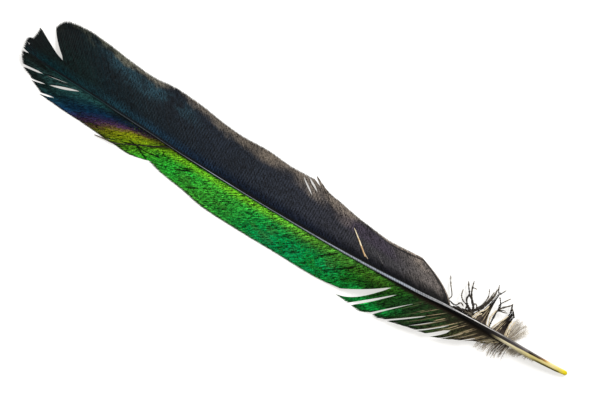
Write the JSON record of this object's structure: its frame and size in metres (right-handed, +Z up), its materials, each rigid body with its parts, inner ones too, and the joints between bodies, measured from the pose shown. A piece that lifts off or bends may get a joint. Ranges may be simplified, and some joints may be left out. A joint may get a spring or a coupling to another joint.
{
  "type": "magpie tail feather",
  "caption": "Tail feather with a stout quill, a narrow green outer vane, a wide dark inner vane, split locks and a tuft of down at its foot.",
  "frame": {"origin": "middle of the feather's outline, on the surface that it lies on", "axes": "+X along the feather from the quill's tip to the feather's tip, +Y towards the green outer vane, +Z up, towards the upper side"},
  "size_m": [0.2212, 0.0364, 0.0058],
  "materials": {
    "outer_vane": "iridescent green barbs, yellow-green beside the shaft, with a yellow, purple and blue-teal band near the tip",
    "inner_vane": "dark slate barbs with a tan-brown rim",
    "shaft": "smooth keratin, cream to olive at the quill and dark grey along the vanes",
    "down": "fine matt grey-brown down and broken barbs"
  },
  "bodies": {
    "root": {"feather": "outer_vane"}
  },
  "joints": []
}
